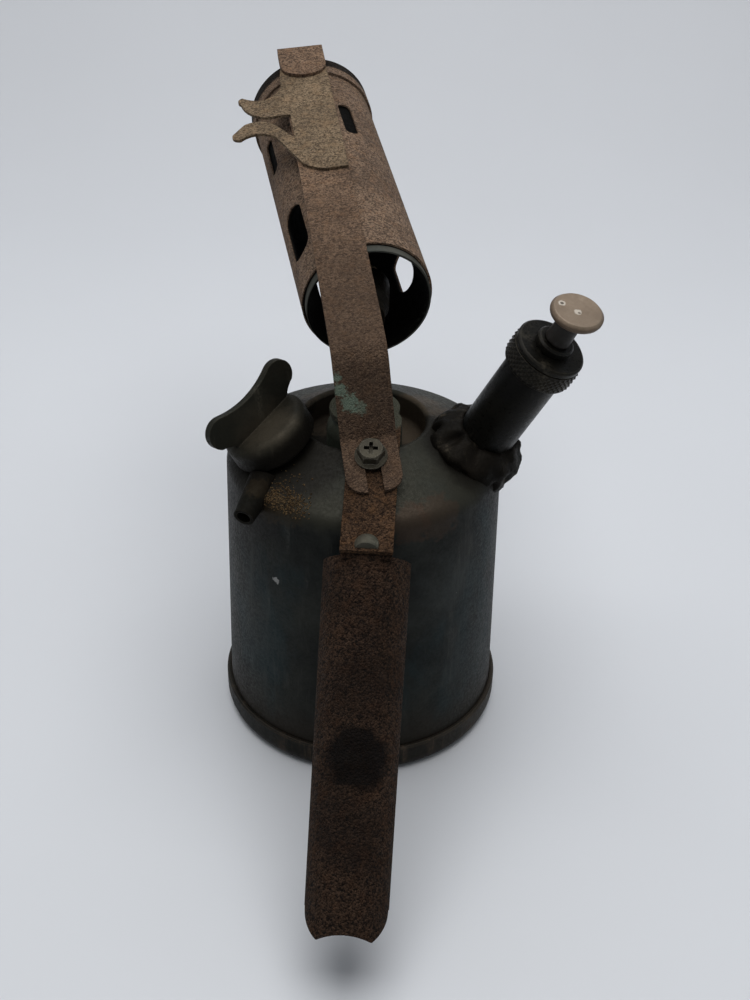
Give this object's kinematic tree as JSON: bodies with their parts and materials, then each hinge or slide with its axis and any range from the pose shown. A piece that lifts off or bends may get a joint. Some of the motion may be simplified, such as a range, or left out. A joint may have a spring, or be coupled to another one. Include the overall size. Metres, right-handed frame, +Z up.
{
  "type": "blowlamp",
  "caption": "Brass paraffin blowlamp: round pressure tank with hand pump, winged filler cap, channel grip and a swinging slotted flame hood that carries an iron rest.",
  "frame": {"origin": "on the tank axis in the plane of the base pan's flat foot", "axes": "+Z up, +Y towards the flame hood, -Y towards the grip, +X towards the pump"},
  "size_m": [0.1346, 0.3276, 0.1927],
  "materials": {
    "patina_brass": "dark patina, worn",
    "base_brass": "dark patina, worn",
    "verdigris_brass": "dull, green deposit",
    "plain_brass": "satin, tarnished",
    "bronze": "dark bronze, worn edges",
    "rusted_steel": "fine brown rust",
    "grey_steel": "dull grey",
    "zinc_steel": "dull plated",
    "leather": "oiled",
    "cotton": "woven",
    "dark_rubber": "matt"
  },
  "bodies": {
    "lamp": {"tank_shell": "patina_brass", "base_pan": "base_brass", "stem_boss": "verdigris_brass", "stem_nut": "plain_brass", "fuel_tube": "plain_brass", "fuel_wick": "cotton", "riser": "plain_brass", "burner": "bronze", "jet_nipple": "plain_brass", "clamp_screw": "zinc_steel", "handle_bracket": "rusted_steel", "handle_grip": "rusted_steel", "handle_rivet": "zinc_steel", "filler_neck": "bronze", "vent_spout": "bronze", "pump_boss": "bronze", "pump_barrel": "patina_brass", "pump_cap": "bronze", "pump_gland": "plain_brass", "valve_body": "plain_brass", "valve_plug": "plain_brass"},
    "hood_assembly": {"hood": "rusted_steel", "hood_liner": "grey_steel", "mouth_ring": "rusted_steel", "hood_strap": "rusted_steel", "iron_rest": "rusted_steel"},
    "pump_plunger": {"pump_rod": "grey_steel", "pump_knob": "plain_brass", "piston_cup": "leather", "piston_washer": "plain_brass", "piston_nut": "plain_brass"},
    "cap_washer": {"filler_washer": "dark_rubber"},
    "cap": {"filler_cap": "bronze"},
    "check_valve": {"valve_disc": "dark_rubber"}
  },
  "joints": [
    {"name": "pump_stroke", "type": "slide", "parent": "lamp", "child": "pump_plunger", "axis": [0.4076, -0.2391, 0.8813], "range_m": [0, 0.045]},
    {"name": "cap_lift", "type": "slide", "parent": "lamp", "child": "cap_washer", "axis": [-0.4383, -0.1682, 0.8829], "range_m": [0, 0.0061]},
    {"name": "cap_turn", "type": "hinge", "parent": "cap_washer", "child": "cap", "pos_m": [-0.0288, -0.0124, 0.11323], "axis": [-0.4383, -0.1682, 0.8829], "range_deg": [0, 1080]},
    {"name": "hood_swing", "type": "hinge", "parent": "lamp", "child": "hood_assembly", "pos_m": [0.0039, -0.02585, 0.11621], "axis": [0, -0.4305, 0.9026], "range_deg": [-7, 5]},
    {"name": "valve_lift", "type": "slide", "parent": "lamp", "child": "check_valve", "axis": [-0.4076, 0.2391, -0.8813], "range_m": [0, 0.0012]}
  ],
  "couplings": [
    {"joint": "cap_lift", "follows": "cap_turn", "m_per_rad": 0.00031831}
  ]
}
